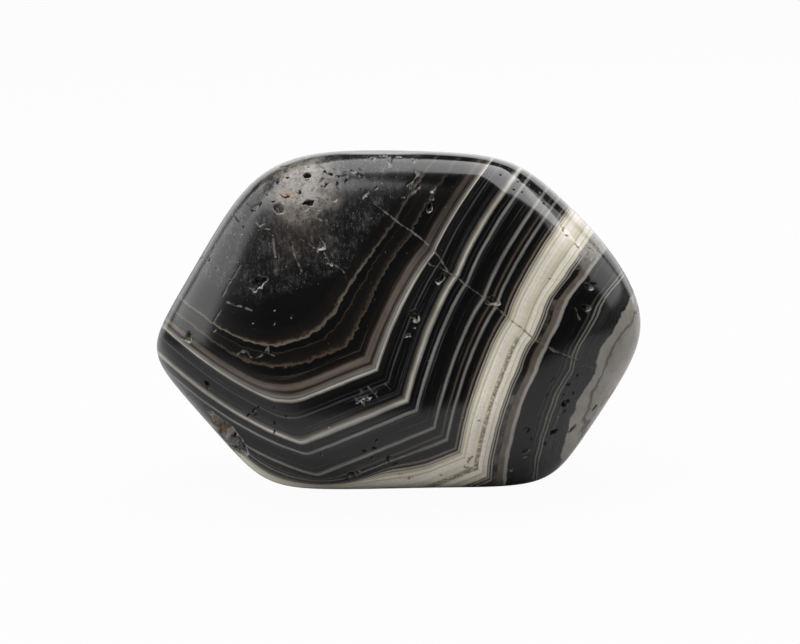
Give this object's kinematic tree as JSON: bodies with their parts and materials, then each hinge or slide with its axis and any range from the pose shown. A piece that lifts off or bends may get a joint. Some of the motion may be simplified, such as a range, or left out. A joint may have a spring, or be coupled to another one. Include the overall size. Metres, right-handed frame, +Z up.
{
  "type": "banded onyx tumbled stone",
  "caption": "Polished pebble of banded onyx, a rounded angular block with a broad flat face and a few chips, standing on its worn lower edge.",
  "frame": {"origin": "middle of the base of the stone's bounding box, on the surface that it stands on", "axes": "+X along the stone's length, to the right as seen from its broad banded face; -Y out of that face, which leans back a little; +Z up"},
  "size_m": [0.0416, 0.025, 0.0294],
  "materials": {
    "onyx": "polished"
  },
  "bodies": {
    "root": {"onyx": "onyx"}
  },
  "joints": []
}
